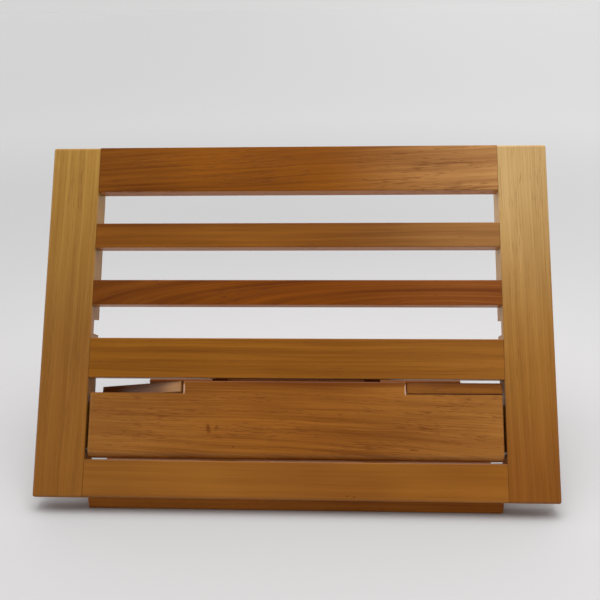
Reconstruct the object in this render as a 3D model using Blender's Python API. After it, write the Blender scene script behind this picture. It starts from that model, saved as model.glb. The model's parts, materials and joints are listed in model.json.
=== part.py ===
# Folding tabletop book stand in clear-finished wood.
# A slatted panel leans back on a low base. A hinged prop stands on the base and its catch rod reaches
# behind both stiles, where ratchet notches set the angle. The ledge folds forward as a shelf, and two
# page holders swing out of its upper corners.
# Lengths in metres. X runs to the right, Y to the back, Z up.

import math

import bmesh
import bpy
from mathutils import Matrix, Vector

# Panel
PANEL_WIDTH = 0.340
STILE_WIDTH = 0.033
STILE_DEPTH = 0.017
RAIL_DEPTH = 0.011
BOTTOM_RAIL_HEIGHT = 0.0243
MID_RAIL_HEIGHT = 0.0265
SLAT_HEIGHT = 0.017
SLAT_GAP = 0.0225
TOP_RAIL_HEIGHT = 0.0319
LEAN = math.radians(30.77)
EDGE_ROUND = 0.0006
STILE_ROUND = 0.0016
FOOT_ROUND = 0.0020

# Ledge and page holders
LEDGE_HEIGHT = 0.0507
LEDGE_DEPTH = 0.010
LEDGE_BOTTOM_GAP = 0.0010
LEDGE_TOP_GAP = 0.0019
LEDGE_END_GAP = 0.0016
LEDGE_END_ROUND = 0.0016
LEDGE_PIN_RADIUS = 0.0015
LEDGE_STOP_WIDTH = 0.0050
LEDGE_STOP_DEPTH = 0.0034
LEDGE_STOP_RISE = 0.0050
LEDGE_STOP_LENGTH = 0.0320
HOLDER_RECESS_LENGTH = 0.0625
HOLDER_RECESS_HEIGHT = 0.0080
HOLDER_END_INSET = 0.0003
HOLDER_CLEARANCE = 0.0007
HOLDER_HEIGHT = 0.0073
HOLDER_DEPTH = 0.0060
HOLDER_SETBACK = 0.0005
HOLDER_PIN_RADIUS = 0.0012
HOLDER_PIN_COVER = 0.0015
HOLDER_TILT = math.radians(9)
HOLDER_SWING = math.radians(19)

# Ratchet notches in the stiles, counted from the lowest
RATCHET_COUNT = 3
RATCHET_FIRST = 0.0910
RATCHET_PITCH = 0.0264
RATCHET_HEIGHT = 0.0094
RATCHET_DEPTH = 0.0107
RATCHET_WIDTH = 0.0120
RATCHET_FLARE = 0.0012

# Base
HINGE_ABOVE_TABLE = 0.0100
HINGE_ABOVE_EDGE = 0.0060
HINGE_BEHIND_FACE = 0.0140
HINGE_PIN_RADIUS = 0.0018
BASE_THICKNESS = 0.0090
BASE_SIDE_GAP = 0.0018
FRONT_BOARD_REACH = 0.0094
FRONT_BOARD_DEPTH = 0.0554
FRONT_BOARD_CREST = 0.0040
STRETCHER_WIDTH = 0.0130
STRETCHER_SPACING = 0.1290
REAR_BAR_WIDTH = 0.0190
REAR_BAR_LENGTH = 0.2640
REAR_BAR_GAP = 0.0020

# Prop
PROP_PIVOT_BACK = 0.0768
PROP_PIN_RADIUS = 0.0018
ARM_HALF_WIDTH = 0.0036
ARM_THICKNESS = 0.0110
CATCH_ROD_RADIUS = 0.0025
CATCH_ROD_OVERLAP = 0.0100
CATCH_ROD_DROP = 0.0045
PROP_RAIL_WIDTH = 0.0160
PROP_RAIL_BELOW_ROD = 0.0200
PROP_DOWEL_DEPTH = 0.0066

# Joinery and clearances
DOWEL_RADIUS = 0.0022
DOWEL_LENGTH = 0.0240
DOWEL_SETBACK = 0.0037
RAIL_DOWELS = 2
SLAT_DOWELS = 1
PIN_SEAT = 0.0100
PIN_COVER = 0.0020
PIN_STAND_OUT = 0.0010
SEAT_GAP = 0.0002
BORE_CLEARANCE = 0.0001
SWING_CLEARANCE = 0.0004
CUT_OVERRUN = 0.0040

# Heights along the panel, from its bottom edge
ledge_base = BOTTOM_RAIL_HEIGHT + LEDGE_BOTTOM_GAP
ledge_top = ledge_base + LEDGE_HEIGHT
mid_rail_base = ledge_top + LEDGE_TOP_GAP
lower_slat_base = mid_rail_base + MID_RAIL_HEIGHT + SLAT_GAP
upper_slat_base = lower_slat_base + SLAT_HEIGHT + SLAT_GAP
top_rail_base = upper_slat_base + SLAT_HEIGHT + SLAT_GAP
panel_height = top_rail_base + TOP_RAIL_HEIGHT

# Half widths across the stand
inner_half = PANEL_WIDTH / 2 - STILE_WIDTH
ledge_half = inner_half - LEDGE_END_GAP
base_half = inner_half - BASE_SIDE_GAP

# The catch rod stands at the mouth of the lowest notch, just behind the stiles
rod_height = RATCHET_FIRST - CATCH_ROD_RADIUS - CATCH_ROD_DROP
rod_along = rod_height - HINGE_ABOVE_EDGE
rod_behind = STILE_DEPTH - HINGE_BEHIND_FACE + SWING_CLEARANCE + CATCH_ROD_RADIUS
rise = math.pi / 2 - LEAN
rod_y = rod_along * math.cos(rise) + rod_behind * math.sin(rise)
rod_z = HINGE_ABOVE_TABLE + rod_along * math.sin(rise) - rod_behind * math.cos(rise)
prop_reach = Vector((rod_y - PROP_PIVOT_BACK, rod_z - BASE_THICKNESS / 2))
prop_length = prop_reach.length
prop_angle = math.atan2(prop_reach.y, prop_reach.x)

# Folded down, the rod lies on the stretchers just in front of the rear bar
rear_bar_front = PROP_PIVOT_BACK + prop_length + CATCH_ROD_RADIUS + REAR_BAR_GAP
front_board_back = FRONT_BOARD_DEPTH - FRONT_BOARD_REACH
stretcher_centre = STRETCHER_SPACING / 2
arm_outer = stretcher_centre - STRETCHER_WIDTH / 2 - SWING_CLEARANCE
arm_inner = arm_outer - ARM_THICKNESS


def make_material(name, colour, roughness, metallic):
    made = bpy.data.materials.new(name)
    made.use_nodes = True
    shader = made.node_tree.nodes["Principled BSDF"]
    shader.inputs["Base Color"].default_value = (*colour, 1.0)
    shader.inputs["Roughness"].default_value = roughness
    shader.inputs["Metallic"].default_value = metallic
    return made


def make_empty(name, parent, location, turn_x=0.0, turn_z=0.0):
    made = bpy.data.objects.new(name, None)
    bpy.context.scene.collection.objects.link(made)
    made.empty_display_size = 0.02
    made.parent = parent
    made.location = location
    made.rotation_mode = "ZYX"
    made.rotation_euler = (turn_x, 0.0, turn_z)
    return made


def add_box(shape, xs, ys, zs):
    size = Matrix.Diagonal((xs[1] - xs[0], ys[1] - ys[0], zs[1] - zs[0], 1.0))
    centre = Matrix.Translation((sum(xs) / 2, sum(ys) / 2, sum(zs) / 2))
    bmesh.ops.create_cube(shape, size=1.0, matrix=centre @ size)


def add_round(shape, start, end, radius, sides):
    start = Vector(start)
    along = Vector(end) - start
    turn = along.to_track_quat("Z", "Y").to_matrix().to_4x4()
    place = Matrix.Translation(start + along / 2) @ turn
    bmesh.ops.create_cone(shape, cap_ends=True, segments=sides, radius1=radius, radius2=radius,
                          depth=along.length, matrix=place)


def add_prism(shape, outline, xs):
    # outline holds (y, z) points, run out along X
    near = [shape.verts.new((xs[0], y, z)) for y, z in outline]
    face = shape.faces.new(near)
    grown = bmesh.ops.extrude_face_region(shape, geom=[face])
    moved = [part for part in grown["geom"] if isinstance(part, bmesh.types.BMVert)]
    bmesh.ops.translate(shape, verts=moved, vec=(xs[1] - xs[0], 0.0, 0.0))
    bmesh.ops.recalc_face_normals(shape, faces=shape.faces)


def arc(centre, radius, first, last, steps):
    angles = [first + (last - first) * i / steps for i in range(steps + 1)]
    return [(centre[0] + radius * math.cos(a), centre[1] + radius * math.sin(a)) for a in angles]


def finish(name, shape, parent, surface):
    mesh = bpy.data.meshes.new(name)
    shape.to_mesh(mesh)
    shape.free()
    mesh.shade_smooth()
    mesh.set_sharp_from_angle(angle=math.radians(35))
    made = bpy.data.objects.new(name, mesh)
    bpy.context.scene.collection.objects.link(made)
    made.parent = parent
    if surface is not None:
        mesh.materials.append(surface)
    return made


def ease(shape, width, chosen, segments=2):
    # rounds only the chosen edges, before any bore is cut
    edges = [edge for edge in shape.edges if chosen(edge.verts[0].co, edge.verts[1].co)]
    bmesh.ops.bevel(shape, geom=edges, offset=width, segments=segments, profile=0.5, affect="EDGES")


def soften(piece, width, segments=2):
    bevel = piece.modifiers.new("softened edges", "BEVEL")
    bevel.width = width
    bevel.segments = segments
    bevel.limit_method = "ANGLE"
    bevel.angle_limit = math.radians(40)


def carve(piece, name, shape):
    cutter = finish(name, shape, piece.parent, None)
    cutter.hide_render = True
    cutter.display_type = "WIRE"
    cut = piece.modifiers.new(name, "BOOLEAN")
    cut.operation = "DIFFERENCE"
    cut.solver = "EXACT"
    cut.object = cutter


def make_rod(name, start, end, radius, sides, parent, surface):
    shape = bmesh.new()
    add_round(shape, start, end, radius, sides)
    return finish(name, shape, parent, surface)


for old in list(bpy.data.objects):
    bpy.data.objects.remove(old, do_unlink=True)

stile_wood = make_material("stile wood", (0.42, 0.23, 0.075), 0.38, 0.0)
rail_wood = make_material("rail wood", (0.30, 0.13, 0.036), 0.38, 0.0)
slat_wood = make_material("slat wood", (0.23, 0.085, 0.022), 0.38, 0.0)
ledge_wood = make_material("ledge wood", (0.31, 0.125, 0.034), 0.36, 0.0)
base_wood = make_material("base wood", (0.27, 0.115, 0.034), 0.42, 0.0)
dowel_wood = make_material("dowel wood", (0.55, 0.38, 0.20), 0.6, 0.0)
steel = make_material("steel", (0.62, 0.62, 0.63), 0.3, 1.0)

stand = make_empty("stand", None, (0.0, 0.0, 0.0))
panel_hinge = make_empty("panel_hinge", stand, (0.0, 0.0, HINGE_ABOVE_TABLE), turn_x=-LEAN)
prop_hinge = make_empty("prop_hinge", stand, (0.0, PROP_PIVOT_BACK, BASE_THICKNESS / 2),
                        turn_x=prop_angle - math.pi / 2)
ledge_axis = (LEDGE_DEPTH / 2 - HINGE_BEHIND_FACE, ledge_base + LEDGE_DEPTH / 2 - HINGE_ABOVE_EDGE)
ledge_hinge = make_empty("ledge_hinge", panel_hinge, (0.0, *ledge_axis))


def on_panel(ws, vs):
    # depth behind the panel's face and height along it, measured from the hinge axis
    return [w - HINGE_BEHIND_FACE for w in ws], [v - HINGE_ABOVE_EDGE for v in vs]


# Rails and slats, level with the stiles' faces; the last two values are the lower front edge's
# rounding and the number of dowels in each end
rail_half = inner_half - SEAT_GAP
rails = (
    ("bottom_rail", 0.0, BOTTOM_RAIL_HEIGHT, rail_wood, FOOT_ROUND, RAIL_DOWELS),
    ("mid_rail", mid_rail_base, MID_RAIL_HEIGHT, rail_wood, EDGE_ROUND, RAIL_DOWELS),
    ("lower_slat", lower_slat_base, SLAT_HEIGHT, slat_wood, EDGE_ROUND, SLAT_DOWELS),
    ("upper_slat", upper_slat_base, SLAT_HEIGHT, rail_wood, EDGE_ROUND, SLAT_DOWELS),
    ("top_rail", top_rail_base, TOP_RAIL_HEIGHT, rail_wood, EDGE_ROUND, RAIL_DOWELS),
)
dowel_reach = DOWEL_LENGTH / 2
dowel_bore = DOWEL_RADIUS + BORE_CLEARANCE
dowel_spots = []
for rail_name, base, height, surface, foot, count in rails:
    ys, zs = on_panel((0.0, RAIL_DEPTH), (base, base + height))
    shape = bmesh.new()
    add_box(shape, (-rail_half, rail_half), ys, zs)
    front, low = ys[0] + foot, zs[0] + foot
    ease(shape, foot, lambda a, b: a.x * b.x < 0 and a.y < front and a.z < low, 3)
    ease(shape, EDGE_ROUND, lambda a, b: a.x * b.x < 0 and (a.y > ys[1] - foot or a.z > zs[1] - foot))
    rail = finish(rail_name, shape, panel_hinge, surface)
    bores = bmesh.new()
    for i in range(count):
        y = DOWEL_SETBACK - HINGE_BEHIND_FACE
        z = base + height * (i + 0.5) / count - HINGE_ABOVE_EDGE
        for side in (-1, 1):
            start = (side * (inner_half - dowel_reach - SEAT_GAP), y, z)
            end = (side * (inner_half + CUT_OVERRUN), y, z)
            add_round(bores, start, end, dowel_bore, 12)
        dowel_spots.append((rail_name + ("" if count == 1 else "_" + "ab"[i]), y, z))
    carve(rail, rail_name + " dowel bores", bores)

for spot_name, y, z in dowel_spots:
    for side, hand in ((-1, "left"), (1, "right")):
        start = (side * (inner_half - dowel_reach), y, z)
        end = (side * (inner_half + dowel_reach), y, z)
        make_rod(hand + "_" + spot_name + "_dowel", start, end, DOWEL_RADIUS, 12, panel_hinge, dowel_wood)

# Stiles: notches cut from the inner back edge, flared at the top to let the rod in
for side, hand in ((-1, "left"), (1, "right")):
    ys, zs = on_panel((0.0, STILE_DEPTH), (0.0, panel_height))
    shape = bmesh.new()
    add_box(shape, sorted((side * inner_half, side * PANEL_WIDTH / 2)), ys, zs)
    outer_half = PANEL_WIDTH / 2 - STILE_ROUND
    ease(shape, STILE_ROUND, lambda a, b: max(abs(a.x), abs(b.x)) > outer_half, 3)
    stile = finish(hand + "_stile", shape, panel_hinge, stile_wood)
    notches = bmesh.new()
    floor = STILE_DEPTH - RATCHET_DEPTH - HINGE_BEHIND_FACE
    mouth = STILE_DEPTH + CUT_OVERRUN - HINGE_BEHIND_FACE
    flare = RATCHET_FLARE * (mouth - floor) / RATCHET_DEPTH
    for i in range(RATCHET_COUNT):
        top = RATCHET_FIRST + RATCHET_PITCH * i - HINGE_ABOVE_EDGE
        low = top - RATCHET_HEIGHT
        outline = ((floor, low), (mouth, low), (mouth, top + flare), (floor, top))
        cut_xs = sorted((side * (inner_half - CUT_OVERRUN), side * (inner_half + RATCHET_WIDTH)))
        add_prism(notches, outline, cut_xs)
    carve(stile, hand + " ratchet notches", notches)
    bores = bmesh.new()
    for spot_name, y, z in dowel_spots:
        start = (side * (inner_half - CUT_OVERRUN), y, z)
        end = (side * (inner_half + dowel_reach + SEAT_GAP), y, z)
        add_round(bores, start, end, dowel_bore, 12)
    for radius, y, z in ((HINGE_PIN_RADIUS, 0.0, 0.0), (LEDGE_PIN_RADIUS, *ledge_axis)):
        start = (side * (inner_half - CUT_OVERRUN), y, z)
        end = (side * (inner_half + PIN_SEAT + SEAT_GAP), y, z)
        add_round(bores, start, end, radius + BORE_CLEARANCE, 16)
    carve(stile, hand + " stile bores", bores)

# Ledge: a full round along its lower edge, turned about the axis of its end pins
ledge_radius = LEDGE_DEPTH / 2
ledge_rise = LEDGE_HEIGHT - ledge_radius
outline = arc((0.0, 0.0), ledge_radius, math.pi, 2 * math.pi, 16)
outline += [(ledge_radius, ledge_rise), (-ledge_radius, ledge_rise)]
shape = bmesh.new()
add_prism(shape, outline, (-ledge_half, ledge_half))
ease(shape, LEDGE_END_ROUND, lambda a, b: a.x * b.x > 0, 3)
ease(shape, EDGE_ROUND, lambda a, b: a.x * b.x < 0 and min(a.z, b.z) > ledge_rise - EDGE_ROUND)
ledge = finish("ledge", shape, ledge_hinge, ledge_wood)
# the recess floors fall to the back, square to the leaning pins
recess_floor = ledge_rise - HOLDER_RECESS_HEIGHT
holder_end = HOLDER_DEPTH / 2
holder_axis = ledge_half - HOLDER_RECESS_LENGTH + HOLDER_CLEARANCE + holder_end
holder_length = HOLDER_RECESS_LENGTH - HOLDER_CLEARANCE - HOLDER_END_INSET
holder_y = HOLDER_SETBACK + holder_end - LEDGE_DEPTH / 2
fall = math.tan(HOLDER_TILT)
holder_z = recess_floor - (holder_y + ledge_radius) * fall
over = ledge_rise + CUT_OVERRUN
front = -ledge_radius - CUT_OVERRUN
back = ledge_radius + CUT_OVERRUN
outline = [(front, recess_floor + CUT_OVERRUN * fall), (back, recess_floor - (back + ledge_radius) * fall)]
outline += [(back, over), (front, over)]
recesses = bmesh.new()
for side in (-1, 1):
    xs = sorted((side * (ledge_half - HOLDER_RECESS_LENGTH), side * (ledge_half + CUT_OVERRUN)))
    add_prism(recesses, outline, xs)
carve(ledge, "page holder recesses", recesses)
pin_lean = Vector((0.0, math.sin(HOLDER_TILT), math.cos(HOLDER_TILT)))
bores = bmesh.new()
for side in (-1, 1):
    start = (side * (ledge_half - PIN_SEAT - SEAT_GAP), 0.0, 0.0)
    end = (side * (ledge_half + CUT_OVERRUN), 0.0, 0.0)
    add_round(bores, start, end, LEDGE_PIN_RADIUS + BORE_CLEARANCE, 16)
    foot = Vector((side * holder_axis, holder_y, holder_z))
    start = foot - pin_lean * (PIN_SEAT + SEAT_GAP)
    add_round(bores, start, foot + pin_lean * CUT_OVERRUN, HOLDER_PIN_RADIUS + BORE_CLEARANCE, 16)
carve(ledge, "ledge bores", bores)

holder_pin_top = HOLDER_HEIGHT - HOLDER_PIN_COVER
holder_turn = holder_end + HOLDER_CLEARANCE - SWING_CLEARANCE
corner = math.asin(holder_end / holder_turn)
for side, hand in ((-1, "left"), (1, "right")):
    start = (side * (ledge_half - PIN_SEAT), 0.0, 0.0)
    end = (side * (inner_half + PIN_SEAT), 0.0, 0.0)
    make_rod(hand + "_ledge_pin", start, end, LEDGE_PIN_RADIUS, 16, ledge_hinge, steel)
    foot = Vector((side * holder_axis, holder_y, holder_z))
    start = foot - pin_lean * PIN_SEAT
    end = foot + pin_lean * (HOLDER_CLEARANCE + holder_pin_top)
    make_rod(hand + "_holder_pin", start, end, HOLDER_PIN_RADIUS, 16, ledge_hinge, steel)
    # the left page holder stands swung back, the right one lies in its recess
    swing = HOLDER_SWING if side < 0 else 0.0
    hinge = make_empty(hand + "_holder_hinge", ledge_hinge, foot + pin_lean * HOLDER_CLEARANCE,
                       turn_x=-HOLDER_TILT, turn_z=side * swing)
    # the inner end's back corner is rounded about the pin so that it turns clear of the recess
    plan = arc((0.0, 0.0), holder_turn, math.pi - corner, math.pi / 2 + corner, 6)
    far = holder_length - holder_end
    plan += [(-holder_end, -holder_end), (far, -holder_end), (far, holder_end)]
    shape = bmesh.new()
    ring = [shape.verts.new((side * x, y, 0.0)) for x, y in plan]
    face = shape.faces.new(ring)
    grown = bmesh.ops.extrude_face_region(shape, geom=[face])
    moved = [part for part in grown["geom"] if isinstance(part, bmesh.types.BMVert)]
    bmesh.ops.translate(shape, verts=moved, vec=(0.0, 0.0, HOLDER_HEIGHT))
    bmesh.ops.recalc_face_normals(shape, faces=shape.faces)
    holder = finish(hand + "_page_holder", shape, hinge, ledge_wood)
    soften(holder, EDGE_ROUND * 0.7)
    bore = bmesh.new()
    add_round(bore, (0.0, 0.0, -CUT_OVERRUN), (0.0, 0.0, holder_pin_top + SEAT_GAP),
              HOLDER_PIN_RADIUS + BORE_CLEARANCE, 16)
    carve(holder, hand + " holder bore", bore)

# Stops behind the ends of the ledge keep it level with the panel's face
for side, hand in ((-1, "left"), (1, "right")):
    stop_w = LEDGE_DEPTH + SWING_CLEARANCE
    stop_v = ledge_base + LEDGE_STOP_RISE
    ys, zs = on_panel((stop_w, stop_w + LEDGE_STOP_DEPTH), (stop_v, stop_v + LEDGE_STOP_LENGTH))
    stop_half = inner_half - SEAT_GAP
    shape = bmesh.new()
    add_box(shape, sorted((side * (stop_half - LEDGE_STOP_WIDTH), side * stop_half)), ys, zs)
    stop = finish(hand + "_ledge_stop", shape, panel_hinge, rail_wood)
    soften(stop, EDGE_ROUND)

# Base: the front board's nose is rounded about the hinge so that it turns under the bottom rail
# and a lip in front of it reaches below the rail's lower edge
nose = HINGE_BEHIND_FACE - RAIL_DEPTH - SWING_CLEARANCE
crown = HINGE_ABOVE_TABLE + nose
lip_drop = HINGE_ABOVE_EDGE + SWING_CLEARANCE
lip_depth = (FRONT_BOARD_REACH - lip_drop * math.sin(LEAN)) / math.cos(LEAN)
outline = [(-FRONT_BOARD_REACH, 0.0)]
for depth in (lip_depth, nose):
    y = -lip_drop * math.sin(LEAN) - depth * math.cos(LEAN)
    outline.append((y, HINGE_ABOVE_TABLE - lip_drop * math.cos(LEAN) + depth * math.sin(LEAN)))
outline += arc((0.0, HINGE_ABOVE_TABLE), nose, math.pi - LEAN, math.pi / 2, 5)
outline += [(FRONT_BOARD_CREST, crown)]
outline += [(FRONT_BOARD_CREST + 2 * (crown - BASE_THICKNESS), BASE_THICKNESS)]
outline += [(front_board_back, BASE_THICKNESS), (front_board_back, 0.0)]
shape = bmesh.new()
add_prism(shape, outline, (-base_half, base_half))
front_board = finish("front_board", shape, stand, base_wood)
soften(front_board, EDGE_ROUND)
base_middle = BASE_THICKNESS / 2
bores = bmesh.new()
for side in (-1, 1):
    start = (side * (base_half - PIN_SEAT - SEAT_GAP), 0.0, HINGE_ABOVE_TABLE)
    end = (side * (base_half + CUT_OVERRUN), 0.0, HINGE_ABOVE_TABLE)
    add_round(bores, start, end, HINGE_PIN_RADIUS + BORE_CLEARANCE, 16)
    start = (side * stretcher_centre, front_board_back - dowel_reach - SEAT_GAP, base_middle)
    end = (side * stretcher_centre, front_board_back + CUT_OVERRUN, base_middle)
    add_round(bores, start, end, dowel_bore, 12)
carve(front_board, "front board bores", bores)

shape = bmesh.new()
rear_bar_back = rear_bar_front + REAR_BAR_WIDTH
add_box(shape, (-REAR_BAR_LENGTH / 2, REAR_BAR_LENGTH / 2), (rear_bar_front, rear_bar_back),
        (0.0, BASE_THICKNESS))
rear_bar = finish("rear_bar", shape, stand, base_wood)
soften(rear_bar, EDGE_ROUND)
bores = bmesh.new()
for side in (-1, 1):
    start = (side * stretcher_centre, rear_bar_front - CUT_OVERRUN, base_middle)
    end = (side * stretcher_centre, rear_bar_front + dowel_reach + SEAT_GAP, base_middle)
    add_round(bores, start, end, dowel_bore, 12)
carve(rear_bar, "rear bar bores", bores)

for side, hand in ((-1, "left"), (1, "right")):
    start = (side * (base_half - PIN_SEAT), 0.0, HINGE_ABOVE_TABLE)
    end = (side * (inner_half + PIN_SEAT), 0.0, HINGE_ABOVE_TABLE)
    make_rod(hand + "_hinge_pin", start, end, HINGE_PIN_RADIUS, 16, stand, steel)
    stretcher_xs = sorted(side * (stretcher_centre + s * STRETCHER_WIDTH / 2) for s in (-1, 1))
    first = front_board_back + SEAT_GAP
    last = rear_bar_front - SEAT_GAP
    shape = bmesh.new()
    add_box(shape, stretcher_xs, (first, last), (0.0, BASE_THICKNESS))
    stretcher = finish(hand + "_stretcher", shape, stand, base_wood)
    soften(stretcher, EDGE_ROUND)
    bores = bmesh.new()
    centre = side * stretcher_centre
    for end, inward, place in ((first, 1, "front"), (last, -1, "rear")):
        add_round(bores, (centre, end - inward * CUT_OVERRUN, base_middle),
                  (centre, end + inward * (dowel_reach + SEAT_GAP), base_middle), dowel_bore, 12)
        make_rod(hand + "_stretcher_" + place + "_dowel", (centre, end - inward * dowel_reach, base_middle),
                 (centre, end + inward * dowel_reach, base_middle), DOWEL_RADIUS, 12, stand, dowel_wood)
    pin_end = stretcher_centre + STRETCHER_WIDTH / 2 - PIN_COVER
    add_round(bores, (side * (arm_outer - CUT_OVERRUN), PROP_PIVOT_BACK, base_middle),
              (side * (pin_end + SEAT_GAP), PROP_PIVOT_BACK, base_middle),
              PROP_PIN_RADIUS + BORE_CLEARANCE, 16)
    carve(stretcher, hand + " stretcher bores", bores)
    make_rod(hand + "_prop_pin", (side * (arm_inner - PIN_STAND_OUT), PROP_PIVOT_BACK, base_middle),
             (side * pin_end, PROP_PIVOT_BACK, base_middle), PROP_PIN_RADIUS, 16, stand, steel)

# Prop: two round-ended arms, a cross rail between them and the catch rod through their upper ends
rail_low = prop_length - PROP_RAIL_BELOW_ROD - PROP_RAIL_WIDTH / 2
rail_high = rail_low + PROP_RAIL_WIDTH
prop_rail_middle = (rail_low + rail_high) / 2
for side, hand in ((-1, "left"), (1, "right")):
    outline = arc((0.0, 0.0), ARM_HALF_WIDTH, math.pi, 2 * math.pi, 8)
    outline += arc((0.0, prop_length), ARM_HALF_WIDTH, 0.0, math.pi, 8)
    shape = bmesh.new()
    add_prism(shape, outline, sorted((side * arm_inner, side * arm_outer)))
    arm = finish(hand + "_prop_arm", shape, prop_hinge, base_wood)
    soften(arm, EDGE_ROUND * 0.5)
    bores = bmesh.new()
    for radius, z in ((PROP_PIN_RADIUS, 0.0), (CATCH_ROD_RADIUS, prop_length)):
        start = (side * (arm_inner - CUT_OVERRUN), 0.0, z)
        end = (side * (arm_outer + CUT_OVERRUN), 0.0, z)
        add_round(bores, start, end, radius + BORE_CLEARANCE, 16)
    add_round(bores, (side * (arm_inner - CUT_OVERRUN), 0.0, prop_rail_middle),
              (side * (arm_inner + PROP_DOWEL_DEPTH + SEAT_GAP), 0.0, prop_rail_middle), dowel_bore, 12)
    carve(arm, hand + " arm bores", bores)
    make_rod(hand + "_prop_rail_dowel", (side * (arm_inner - dowel_reach), 0.0, prop_rail_middle),
             (side * (arm_inner + PROP_DOWEL_DEPTH), 0.0, prop_rail_middle), DOWEL_RADIUS, 12, prop_hinge,
             dowel_wood)

shape = bmesh.new()
prop_rail_half = arm_inner - SEAT_GAP
add_box(shape, (-prop_rail_half, prop_rail_half), (-ARM_HALF_WIDTH, ARM_HALF_WIDTH), (rail_low, rail_high))
prop_rail = finish("prop_rail", shape, prop_hinge, base_wood)
soften(prop_rail, EDGE_ROUND)
bores = bmesh.new()
for side in (-1, 1):
    add_round(bores, (side * (arm_inner - dowel_reach - SEAT_GAP), 0.0, prop_rail_middle),
              (side * (arm_inner + CUT_OVERRUN), 0.0, prop_rail_middle), dowel_bore, 12)
carve(prop_rail, "prop rail bores", bores)
rod_half = inner_half + CATCH_ROD_OVERLAP
make_rod("catch_rod", (-rod_half, 0.0, prop_length), (rod_half, 0.0, prop_length), CATCH_ROD_RADIUS, 16,
         prop_hinge, steel)

# The stand's origin lies under the middle of its outline
bpy.context.view_layer.update()
view = bpy.context.evaluated_depsgraph_get()
reach = []
for piece in bpy.context.scene.objects:
    if piece.type == "MESH" and not piece.hide_render:
        seen = piece.evaluated_get(view)
        reach += [(seen.matrix_world @ point.co).y for point in seen.data.vertices]
stand.location.y = -(min(reach) + max(reach)) / 2
bpy.context.view_layer.update()
for joint in (panel_hinge, prop_hinge, ledge_hinge):
    print(joint.name, [round(value, 6) for value in joint.matrix_world.translation])
for name in ("left_holder_hinge", "right_holder_hinge"):
    print(name, [round(value, 6) for value in bpy.data.objects[name].matrix_world.translation])
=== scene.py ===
import json
import math

import bpy
from mathutils import Matrix, Vector

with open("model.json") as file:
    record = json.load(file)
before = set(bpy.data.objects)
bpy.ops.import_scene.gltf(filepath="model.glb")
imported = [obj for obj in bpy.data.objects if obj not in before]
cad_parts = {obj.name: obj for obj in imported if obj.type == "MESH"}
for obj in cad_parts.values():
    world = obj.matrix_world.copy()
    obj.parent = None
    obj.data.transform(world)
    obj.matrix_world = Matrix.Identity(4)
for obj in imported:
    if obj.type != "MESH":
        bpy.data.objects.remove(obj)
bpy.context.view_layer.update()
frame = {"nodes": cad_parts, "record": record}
nodes = frame["nodes"]
scene = bpy.context.scene
scene.view_settings.view_transform = "Standard"
print("frame loaded,", len(nodes), "nodes")

# the camera stands a little to the right of the stand and looks down on it
cameraLook = {
    "place": (0.02794, -0.51319, 0.31075),
    "yaw": 0.0506,      # turned to the left, radians
    "pitch": 0.3684,    # looking down
    "roll": 0.0167,
    "lens": 46.664,     # millimetres, as is the sensor
    "sensor": 36.0,
    "clip": (0.01, 200.0),
}


def addCamera(look):
    cy, sy = math.cos(look["yaw"]), math.sin(look["yaw"])
    cp, sp = math.cos(look["pitch"]), math.sin(look["pitch"])
    cr, sr = math.cos(look["roll"]), math.sin(look["roll"])
    right = Vector((cy, sy, 0.0))
    ahead = Vector((-sy * cp, cy * cp, -sp))
    down = ahead.cross(right)
    level = right * cr + down * sr
    below = down * cr - right * sr
    turn = Matrix((level, -below, -ahead)).transposed()
    data = bpy.data.cameras.new("standCamera")
    data.lens = look["lens"]
    data.sensor_width = look["sensor"]
    data.clip_start, data.clip_end = look["clip"]
    camera = bpy.data.objects.new("standCamera", data)
    scene.collection.objects.link(camera)
    camera.matrix_world = Matrix.Translation(look["place"]) @ turn.to_4x4()
    scene.camera = camera


addCamera(cameraLook)
print("camera set")

# wood is laid out in millimetres, on the table or on the panel: x along the rails, y behind its face, z up it
perMetre = 1000.0
lean = math.radians(30.77)
hingeBehind, hingeAbove = 14.0, 6.0    # from the panel's face and from its lower edge
hinge = next(j for j in frame["record"]["behaviour"]["joints"] if j["name"] == "panel_tilt")["pos_m"]
hingeMm = [perMetre * value for value in hinge]
onPanel = {
    "turn": (lean, 0.0, 0.0),
    "place": (0.0,
              hingeBehind - (hingeMm[1] * math.cos(lean) - hingeMm[2] * math.sin(lean)),
              hingeAbove - (hingeMm[1] * math.sin(lean) + hingeMm[2] * math.cos(lean))),
}
downPanel = (0.0, -math.sin(lean), -math.cos(lean))
onTable = {"turn": (0.0, 0.0, 0.0), "place": (0.0, 0.0, 0.0)}
alongGrain = {"across": (0.0, 0.0, 0.0), "up": (0.0, math.pi / 2, 0.0), "back": (0.0, 0.0, math.pi / 2)}
noiseMiddle = 0.5
spotDepth = 50.0    # how far a mark reaches into its board
spotCore = 0.2      # the full share of a mark that names none
seedStep = 10.0     # keeps the rings of two boards apart


def linear(red, green, blue):
    out = []
    for value in (red, green, blue):
        value /= 255.0
        out.append(value / 12.92 if value <= 0.04045 else ((value + 0.055) / 1.055) ** 2.4)
    return out


def srgb(red, green, blue, times=(1.0, 1.0, 1.0)):
    return (*[value * by for value, by in zip(linear(red, green, blue), times)], 1.0)


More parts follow.
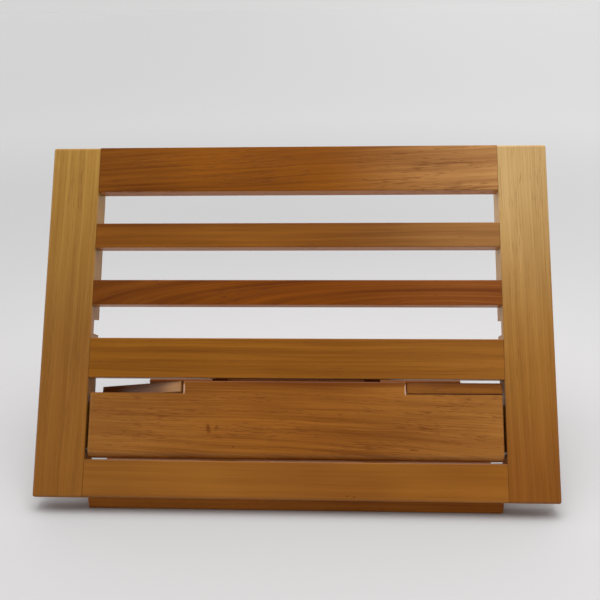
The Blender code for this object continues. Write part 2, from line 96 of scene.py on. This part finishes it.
class Graph:
    # a shorthand for wiring the nodes of one material or of the world
    def __init__(self, owner):
        owner.use_nodes = True
        self.owner = owner
        self.nodes = owner.node_tree.nodes
        self.links = owner.node_tree.links
        self.shader = self.nodes.get("Principled BSDF") or self.nodes.get("Background")

    def put(self, kind, inputs=None, **settings):
        node = self.nodes.new("ShaderNode" + kind)
        for key, value in settings.items():
            setattr(node, key, value)
        for key, value in (inputs or {}).items():
            self.feed(node.inputs[key], value)
        return node

    def feed(self, socket, value):
        if isinstance(value, bpy.types.NodeSocket):
            self.links.new(value, socket)
        else:
            socket.default_value = value

    def math(self, operation, a, b=0.0, c=0.0):
        return self.put("Math", {0: a, 1: b, 2: c}, operation=operation).outputs[0]

    def vector(self, operation, a, b=(0.0, 0.0, 0.0)):
        return self.put("VectorMath", {0: a, 1: b}, operation=operation).outputs[0]

    def size(self, vector):
        return self.put("VectorMath", {0: vector}, operation="LENGTH").outputs["Value"]

    def facing(self, vector, way):
        return self.put("VectorMath", {0: vector, 1: way}, operation="DOT_PRODUCT").outputs["Value"]

    def blend(self, kind, amount, a, b):
        node = self.put("Mix", {0: amount, 6: a, 7: b}, data_type="RGBA", blend_type=kind)
        return node.outputs[2]

    def noise(self, vector, detail, roughness=0.5, output="Fac"):
        node = self.put("TexNoise", {"Vector": vector, "Scale": 1.0, "Detail": detail,
                                     "Roughness": roughness})
        return node.outputs[output]

    def stretch(self, vector, sizes, place=(0.0, 0.0, 0.0)):
        # one noise cell is sizes[i] millimetres long on each axis
        node = self.put("Mapping", {"Vector": vector, "Location": place,
                                    "Scale": [1.0 / size for size in sizes]})
        return node.outputs[0]

    def spread(self, value, low, high, to=(0.0, 1.0)):
        node = self.put("MapRange", {"Value": value, "From Min": low, "From Max": high,
                                     "To Min": to[0], "To Max": to[1]}, interpolation_type="SMOOTHSTEP")
        return node.outputs[0]

    def spot(self, seat, mark):
        # an oval across the face, fading from its core to its rim
        across, up = mark["at"]
        wide, tall = mark["size"]
        off = self.put("Mapping", {"Vector": seat, "Location": (-across, 0.0, -up)}).outputs[0]
        off = self.put("Mapping", {"Vector": off, "Rotation": (0.0, mark.get("turn", 0.0), 0.0)}).outputs[0]
        away = self.size(self.vector("MULTIPLY", off, (1 / wide, 1 / spotDepth, 1 / tall)))
        return self.spread(away, 1.0, mark.get("core", spotCore), (0.0, mark["depth"]))

    def sway(self, tone, value, amount):
        # adds a noise to the tone, as much up as down
        return self.math("MULTIPLY_ADD", self.math("SUBTRACT", value, noiseMiddle), amount, tone)


def woodFinish(name, look):
    g = Graph(bpy.data.materials.new(name))
    seed = look["seed"]
    place = g.put("TexCoord").outputs["Object"]
    seat = g.put("Mapping", {"Vector": place, "Location": look["on"]["place"], "Rotation": look["on"]["turn"],
                             "Scale": (perMetre,) * 3}).outputs[0]
    grain = g.put("Mapping", {"Vector": seat, "Rotation": alongGrain[look["along"]]}).outputs[0]
    # slow wander of the fibres
    wander = g.noise(g.stretch(grain, look["wanderSize"], place=(seed,) * 3), detail=2.0, output="Color")
    wander = g.vector("SUBTRACT", wander, (noiseMiddle,) * 3)
    wander = g.vector("MULTIPLY", wander, (0.0, look["wander"], look["wander"]))
    run, deep, side = g.put("SeparateXYZ", {0: g.vector("ADD", grain, wander)}).outputs

    # growth rings stand round the log's heart, which runs a little askew of the board
    heart = look["heart"]
    deep = g.math("MULTIPLY_ADD", run, heart["back"], g.math("ADD", deep, heart["depth"]))
    side = g.math("MULTIPLY_ADD", run, heart["askew"], g.math("SUBTRACT", side, heart["side"]))
    ring = g.math("SQRT", g.math("MULTIPLY_ADD", deep, deep, g.math("MULTIPLY", side, side)))
    onRing = g.put("CombineXYZ", {0: run, 1: ring, 2: seed * seedStep}).outputs[0]

    # each noise starts at a place of its own
    bands = g.noise(g.stretch(onRing, look["bandSize"]), detail=4.0, roughness=0.6)
    blotch = g.noise(g.stretch(grain, look["blotchSize"], place=(seed + 7.0, 3.0, 5.0)), detail=1.5)
    lines = g.noise(g.stretch(onRing, look["lineSize"], place=(3.0, 9.0, 1.0)), detail=2.0, roughness=0.6)
    crowd = g.noise(g.stretch(onRing, look["crowdSize"], place=(5.0, 2.0, 4.0)), detail=1.0)
    pores = g.noise(g.stretch(onRing, look["fleckSize"], place=(1.0, 4.0, 8.0)), detail=2.0, roughness=0.55)

    low, plain, high = look["toneStops"]
    tone = g.sway(plain, bands, look["bands"])
    tone = g.sway(tone, blotch, look["blotch"])
    tone = g.sway(tone, lines, look["lines"])
    ramp = g.put("ValToRGB", {0: tone})
    stops = ramp.color_ramp.elements
    stops[0].position = low
    stops[0].color = srgb(*look["colour"], times=look["darker"])
    stops[1].position = high
    stops[1].color = srgb(*look["colour"], times=look["lighter"])
    stops.new(plain).color = srgb(*look["colour"])
    colour = ramp.outputs[0]
    for way, end in zip((-1.0, 1.0), look["ends"]):    # colours towards the two ends of the board: painted light, paler towards the top and the right for the sheen and falloff of the light, with some of the board's own tone along its length
        reach = [look["middleRun"] + way * length for length in look["endReach"]]
        tint = [there / middle for there, middle in zip(linear(*end), linear(*look["colour"]))]
        colour = g.blend("MULTIPLY", g.spread(run, *reach), colour, (*tint, 1.0))
    if look["under"]:    # painted light: faces turned down are paler, standing in for light bounced up from the floor
        facing = g.facing(g.put("TexCoord").outputs["Normal"], downPanel)
        paintedBounce = g.spread(facing, *look["underFrom"], (0.0, look["underDepth"]))
        colour = g.blend("MIX", paintedBounce, colour, srgb(*look["under"]))

    fleck = g.sway(g.math("SUBTRACT", pores, noiseMiddle), crowd, look["crowding"])
    fleck = g.spread(fleck, look["fleckFrom"], look["fleckFrom"] + look["fleckFade"])
    dark = g.math("MULTIPLY", fleck, look["flecks"])
    for mark in look["marks"]:    # knots, specks and streaks where this board shows them, and painted shade along the ledge's and right holder's upper edges
        dark = g.math("MAXIMUM", dark, g.spot(seat, mark))
    colour = g.blend("MIX", dark, colour, srgb(*look["colour"], times=look["fleckTint"]))
    for glint in look["paintedHighlights"]:    # painted highlights and sheen, pale
        colour = g.blend("MIX", g.spot(seat, glint), colour, srgb(*look["paintedHighlightColour"]))
    g.feed(g.shader.inputs["Base Color"], colour)

    dull = g.math("MULTIPLY_ADD", fleck, look["fleckDull"], look["roughness"])
    g.feed(g.shader.inputs["Roughness"], g.sway(dull, lines, look["lineDull"]))
    g.shader.inputs["Specular IOR Level"].default_value = look["shine"]
    height = g.math("SUBTRACT", g.math("MULTIPLY", lines, look["lineHeight"]), fleck)
    bump = g.put("Bump", {"Height": height, "Strength": look["bump"], "Distance": look["relief"]})
    g.feed(g.shader.inputs["Normal"], bump.outputs[0])
    return g.owner


def finishNodes(material, names):
    for name in names:
        data = nodes[name].data
        data.materials.clear()
        data.materials.append(material)


# what all the boards share; each one's own settings follow. Lengths are in millimetres, relief in metres
board = {
    "on": onPanel, "along": "across", "seed": 1.0,
    "heart": {"side": -60.0, "depth": 30.0, "askew": 0.0, "back": 0.02},
    "wander": 3.0, "wanderSize": (95.0, 26.0, 26.0),
    "bandSize": (300.0, 4.0, 1.0), "bands": 1.7,
    "blotchSize": (85.0, 30.0, 30.0), "blotch": 0.9,
    "lineSize": (60.0, 0.9, 1.0), "lines": 0.7,
    "fleckSize": (9.0, 0.7, 1.0), "fleckFrom": 0.09, "fleckFade": 0.10, "flecks": 0.5,
    "fleckTint": (0.50, 0.42, 0.40), "crowdSize": (60.0, 7.0, 1.0), "crowding": 0.5,
    "colour": (137, 83, 28), "darker": (0.68, 0.60, 0.60), "lighter": (1.34, 1.42, 1.5),
    "toneStops": (0.05, 0.5, 0.95),
    # the colours at the ends are painted light: sheen and falloff towards the upper right
    "middleRun": 0.0, "ends": (), "endReach": (10.0, 150.0),
    "under": (), "underFrom": (0.5, 0.95), "underDepth": 0.8,
    "marks": (), "paintedHighlights": (), "paintedHighlightColour": (193, 148, 118),
    "roughness": 0.36, "fleckDull": 0.12, "lineDull": 0.10, "shine": 0.17,
    "relief": 0.00006, "lineHeight": 0.5, "bump": 0.35,
}

stile = {
    **board, "along": "up", "middleRun": 119.0, "endReach": (-40.0, 125.0),
    "bandSize": (400.0, 3.4, 1.0), "bands": 1.5, "lines": 0.9,
    "fleckSize": (16.0, 0.6, 1.0), "flecks": 0.42, "fleckTint": (0.64, 0.54, 0.46),
    "darker": (0.80, 0.74, 0.70), "lighter": (1.20, 1.26, 1.4),
}
leftStile = {
    **stile, "seed": 2.0, "colour": (138, 93, 39), "ends": ((140, 89, 33), (163, 121, 55)),
    "heart": {"side": 60.0, "depth": 24.0, "askew": 0.015, "back": 0.02},
}
finishNodes(woodFinish("leftStileWood", leftStile), ["left_stile"])

rightStile = {
    **stile, "seed": 3.0, "colour": (164, 116, 52), "ends": ((138, 82, 29), (193, 157, 102)),
    "heart": {"side": -60.0, "depth": 24.0, "askew": -0.01, "back": 0.02},
    "marks": [
        {"at": (146.3, 95.5), "size": (0.55, 4.6), "depth": 0.8},
        {"at": (145.0, 82.6), "size": (0.5, 7.0), "turn": 0.1, "depth": 0.7},
        {"at": (152.2, 66.5), "size": (0.5, 5.0), "turn": -0.16, "depth": 0.7},
        {"at": (151.8, 213.8), "size": (0.5, 6.0), "turn": -0.2, "depth": 0.45},
    ],
}
finishNodes(woodFinish("rightStileWood", rightStile), ["right_stile"])

paintedBounceColour = (178, 114, 55)    # painted bounce light on the lower edges over the open gaps
topRail = {
    **board, "seed": 4.0, "under": paintedBounceColour, "shine": 0.09,
    "colour": (125, 68, 4), "ends": ((118, 66, 15), (175, 125, 73)),
    "bands": 2.2, "fleckSize": (13.0, 0.7, 1.0), "fleckFrom": 0.08,
    "heart": {"side": 150.0, "depth": 26.0, "askew": -0.07, "back": 0.06},
}
finishNodes(woodFinish("topRailWood", topRail), ["top_rail"])

upperSlat = {
    **board, "seed": 5.0, "under": paintedBounceColour,
    "colour": (128, 75, 17), "ends": ((114, 64, 13), (152, 105, 57)),
    "bands": 1.9, "fleckFrom": 0.16,
    "heart": {"side": 110.0, "depth": 30.0, "askew": -0.02, "back": 0.03},
}
finishNodes(woodFinish("upperSlatWood", upperSlat), ["upper_slat"])

lowerSlat = {
    **board, "seed": 6.0, "under": paintedBounceColour,
    "colour": (113, 56, 4), "ends": ((104, 54, 10), (130, 72, 28)),
    "bandSize": (400.0, 3.0, 1.0), "bands": 2.4, "wander": 2.0, "fleckFrom": 0.15,
    "heart": {"side": 120.0, "depth": -13.0, "askew": 0.0, "back": 0.13},
}
finishNodes(woodFinish("lowerSlatWood", lowerSlat), ["lower_slat"])

midRail = {
    **board, "seed": 7.0, "colour": (135, 81, 21), "ends": ((137, 84, 21), (143, 89, 32)),
    "bands": 1.6, "blotch": 0.5, "fleckSize": (9.0, 0.6, 1.0), "fleckFrom": 0.16, "flecks": 0.35,
}
finishNodes(woodFinish("midRailWood", midRail), ["mid_rail"])

bottomRail = {
    **board, "seed": 8.0, "colour": (145, 89, 32), "ends": ((140, 88, 32), (149, 92, 32)),
    "bands": 0.8, "blotch": 0.8, "lines": 0.4, "fleckFrom": 0.20, "flecks": 0.3,
    "marks": [
        {"at": (34.9, 3.1), "size": (0.9, 0.7), "depth": 0.9, "core": 0.4},
        {"at": (39.3, 2.7), "size": (1.2, 0.8), "depth": 0.8, "core": 0.3},
    ],
}
finishNodes(woodFinish("bottomRailWood", bottomRail), ["bottom_rail"])

ledgeBoard = {
    **board, "seed": 9.0, "colour": (140, 83, 27), "ends": ((143, 91, 38), (159, 103, 46)),
    "bands": 1.2, "lines": 1.2, "wander": 4.0,
    "fleckSize": (9.0, 0.55, 1.0), "flecks": 0.62, "fleckTint": (0.56, 0.42, 0.34),
    "heart": {"side": -30.0, "depth": 45.0, "askew": -0.02, "back": 0.10},
    "marks": [
        {"at": (-55.7, 44.9), "size": (2.3, 5.0), "turn": 0.2, "depth": 0.85, "core": 0.15},
        {"at": (-50.3, 45.5), "size": (2.0, 3.0), "turn": -0.5, "depth": 0.65, "core": 0.1},
        {"at": (-39.2, 33.5), "size": (1.0, 0.8), "depth": 0.8, "core": 0.4},
        {"at": (-88.7, 48.5), "size": (1.6, 0.5), "depth": 0.5},
        {"at": (25.0, 75.6), "size": (130.0, 5.0), "depth": 0.85, "core": 0.3},    # painted shade along the upper edge, where the mid rail shades it
    ],
    "paintedHighlights": [    # painted highlights on the inner corners of the two recesses
        {"at": (-72.5, 70.8), "size": (0.8, 4.4), "depth": 0.95, "core": 0.6},
        {"at": (72.6, 70.8), "size": (0.8, 4.4), "depth": 0.95, "core": 0.6},
    ],
}
finishNodes(woodFinish("ledgeWood", ledgeBoard), ["ledge"])

holder = {**ledgeBoard, "colour": (130, 77, 22), "ends": (), "marks": (), "paintedHighlights": ()}
leftHolder = {
    **holder, "seed": 10.0, "shine": 0.45, "roughness": 0.32, "paintedHighlightColour": (186, 140, 88),
    # painted sheen towards its inner end, where the light catches it
    "paintedHighlights": [{"at": (-80.0, 71.0), "size": (13.0, 9.0), "depth": 0.45, "core": 0.1}],
}
finishNodes(woodFinish("leftHolderWood", leftHolder), ["left_page_holder"])

rightHolder = {
    **holder, "seed": 11.0,
    # painted shade along its upper edge, under the mid rail
    "marks": [{"at": (107.0, 75.6), "size": (60.0, 4.6), "depth": 0.65, "core": 0.3}],
}
finishNodes(woodFinish("rightHolderWood", rightHolder), ["right_page_holder"])

ledgeStops = {**board, "along": "up", "seed": 18.0}
finishNodes(woodFinish("ledgeStopWood", ledgeStops), ["left_ledge_stop", "right_ledge_stop"])
print("panel and ledge finished")

# the base and the prop are oiled less than the panel
baseWood = {**board, "on": onTable, "roughness": 0.62, "shine": 0.08}
frontBoard = {
    **baseWood, "seed": 12.0, "colour": (147, 84, 25),
    "heart": {"side": -40.0, "depth": 90.0, "askew": 0.0, "back": 0.02},
}
finishNodes(woodFinish("frontBoardWood", frontBoard), ["front_board"])

rearBar = {**frontBoard, "seed": 13.0, "colour": (114, 62, 21)}
finishNodes(woodFinish("rearBarWood", rearBar), ["rear_bar"])

stretchers = {**baseWood, "along": "back", "seed": 14.0}
finishNodes(woodFinish("stretcherWood", stretchers), ["left_stretcher", "right_stretcher"])

propArms = {**baseWood, "along": "back", "seed": 15.0, "colour": (126, 68, 20)}
finishNodes(woodFinish("propArmWood", propArms), ["left_prop_arm", "right_prop_arm"])

propRail = {**propArms, "along": "across", "seed": 16.0}
finishNodes(woodFinish("propRailWood", propRail), ["prop_rail"])
print("base and prop finished")

# bare dowels, with their grain along the rails
dowels = {
    **board, "on": onTable, "seed": 17.0, "colour": (194, 158, 106), "roughness": 0.62,
    "bandSize": (40.0, 2.0, 1.0), "bands": 0.8, "flecks": 0.2,
}
finishNodes(woodFinish("dowelBeech", dowels), [name for name in nodes if name.endswith("dowel")])

# drawn steel wire: fine scratches round the pins, and a little staining
pinSteel = {
    "colour": (122, 121, 121), "dull": (100, 98, 97),
    "stainSize": (24.0, 8.0, 8.0), "stainFrom": (0.35, 0.75),
    "scratchSize": (0.25, 3.0, 3.0), "scratch": 0.00002, "bump": 0.3,
    "roughness": 0.42, "roughSpan": 0.16,
}


def steelFinish(name, look):
    g = Graph(bpy.data.materials.new(name))
    place = g.put("TexCoord").outputs["Object"]
    seat = g.put("Mapping", {"Vector": place, "Scale": (perMetre,) * 3}).outputs[0]
    lines = g.noise(g.stretch(seat, look["scratchSize"]), detail=3.0)
    stain = g.spread(g.noise(g.stretch(seat, look["stainSize"]), detail=2.0), *look["stainFrom"])
    colour = g.blend("MIX", stain, srgb(*look["colour"]), srgb(*look["dull"]))
    g.feed(g.shader.inputs["Base Color"], colour)
    g.shader.inputs["Metallic"].default_value = 1.0
    g.feed(g.shader.inputs["Roughness"], g.sway(look["roughness"], lines, look["roughSpan"]))
    bump = g.put("Bump", {"Height": lines, "Strength": look["bump"], "Distance": look["scratch"]})
    g.feed(g.shader.inputs["Normal"], bump.outputs[0])
    return g.owner


pins = [name for name in nodes if name.endswith("_pin") or name == "catch_rod"]
finishNodes(steelFinish("pinSteel", pinSteel), pins)
print("dowels and pins finished")

# pale floor, in metres
floorLook = {
    "size": 60.0, "roughness": 0.8, "shine": 0.2,
    "near": (190, 189, 190), "nearEnd": 0.6, "far": (209, 209, 209), "farStart": 1.8,
    # the floor is paler to the right: painted light falling from the right
    "leftTint": 0.96, "rightTint": 1.09, "sideReach": 0.2, "sideBack": 4.0,
    "paintedShadowPlace": (0.0, 0.5), "paintedShadowSize": (0.5, 0.45), "paintedShadowTint": 0.93,    # painted shadow of the panel on the floor behind it
}


def addFloor(look):
    half = look["size"] / 2
    corners = [(-half, -half, 0), (half, -half, 0), (half, half, 0), (-half, half, 0)]
    mesh = bpy.data.meshes.new("floor")
    mesh.from_pydata(corners, [], [(0, 1, 2, 3)])
    floor = bpy.data.objects.new("floor", mesh)
    scene.collection.objects.link(floor)
    g = Graph(bpy.data.materials.new("floorPaper"))
    place = g.put("TexCoord").outputs["Object"]
    away = g.size(place)
    reach = g.spread(away, look["nearEnd"], look["farStart"])
    colour = g.blend("MIX", reach, srgb(*look["near"]), srgb(*look["far"]))
    across = g.put("SeparateXYZ", {0: place}).outputs[0]
    aside = g.math("DIVIDE", across, g.math("ADD", away, look["sideBack"]))
    # painted light: the floor paler to the right
    shade = g.spread(aside, -look["sideReach"], look["sideReach"], (look["leftTint"], look["rightTint"]))
    paintedShadow = g.vector("SUBTRACT", place, (*look["paintedShadowPlace"], 0.0))
    paintedShadow = g.size(g.vector("DIVIDE", paintedShadow, (*look["paintedShadowSize"], 1.0)))
    # painted shadow: the floor darker behind the panel
    shade = g.math("MULTIPLY", shade, g.spread(paintedShadow, 1.0, 0.0, (1.0, look["paintedShadowTint"])))
    colour = g.blend("MULTIPLY", 1.0, colour, g.put("CombineXYZ", {0: shade, 1: shade, 2: shade}).outputs[0])
    g.feed(g.shader.inputs["Base Color"], colour)
    g.shader.inputs["Roughness"].default_value = look["roughness"]
    g.shader.inputs["Specular IOR Level"].default_value = look["shine"]
    mesh.materials.append(g.owner)


addFloor(floorLook)
print("floor laid")

# a white light tent with an open, dim front; its directions are in degrees
tentLook = {
    "power": 1.38, "rightGain": -0.03,
    "front": 0.05, "frontAzimuth": 4.0, "frontHeight": 36.0, "frontInner": 30.0, "frontOuter": 55.0,
    # pale band at the horizon, seen past the floor's end or mirrored, which lights nothing else
    "rimLeft": 0.665, "rimRight": 0.746, "rimReach": 0.35, "rimTop": 0.14,
}


def toward(azimuth, height):
    # degrees to the right of the stand's front, and above the floor
    aside, up = math.radians(azimuth), math.radians(height)
    return Vector((math.sin(aside) * math.cos(up), -math.cos(aside) * math.cos(up), math.sin(up)))


def addTent(look):
    scene.world = bpy.data.worlds.new("lightTent")
    g = Graph(scene.world)
    ray = g.put("TexCoord").outputs["Generated"]
    axes = g.put("SeparateXYZ", {0: ray}).outputs
    across, height = axes[0], axes[2]
    facing = g.facing(ray, toward(look["frontAzimuth"], look["frontHeight"]))
    edge = [math.cos(math.radians(look[side])) for side in ("frontOuter", "frontInner")]
    bright = g.spread(facing, *edge, (look["power"], look["front"]))
    bright = g.math("MULTIPLY", bright, g.math("MULTIPLY_ADD", across, look["rightGain"], 1.0))
    path = g.put("LightPath").outputs
    mirrored = g.math("MAXIMUM", path["Is Glossy Ray"], path["Is Transmission Ray"])
    seen = g.math("MAXIMUM", path["Is Camera Ray"], mirrored)
    seen = g.math("MULTIPLY", seen, g.math("LESS_THAN", height, look["rimTop"]))
    rim = g.spread(across, -look["rimReach"], look["rimReach"], (look["rimLeft"], look["rimRight"]))
    g.feed(g.shader.inputs["Strength"], g.put("Mix", {0: seen, 2: bright, 3: rim}).outputs[0])
    g.shader.inputs["Color"].default_value = (1.0, 1.0, 1.0, 1.0)


addTent(tentLook)

# one soft box overhead, a little to the front
boxLook = {
    "azimuth": 14.0, "height": 81.0, "distance": 0.95, "aim": (0.0, -0.03, 0.11),
    "size": 0.60, "power": 6.0,
}


def addBox(look):
    data = bpy.data.lights.new("softBox", "AREA")
    data.size = look["size"]
    data.energy = look["power"]
    lamp = bpy.data.objects.new("softBox", data)
    scene.collection.objects.link(lamp)
    toLamp = toward(look["azimuth"], look["height"])
    lamp.location = Vector(look["aim"]) + toLamp * look["distance"]
    lamp.rotation_euler = toLamp.to_track_quat("Z", "Y").to_euler()


addBox(boxLook)
print("light set")
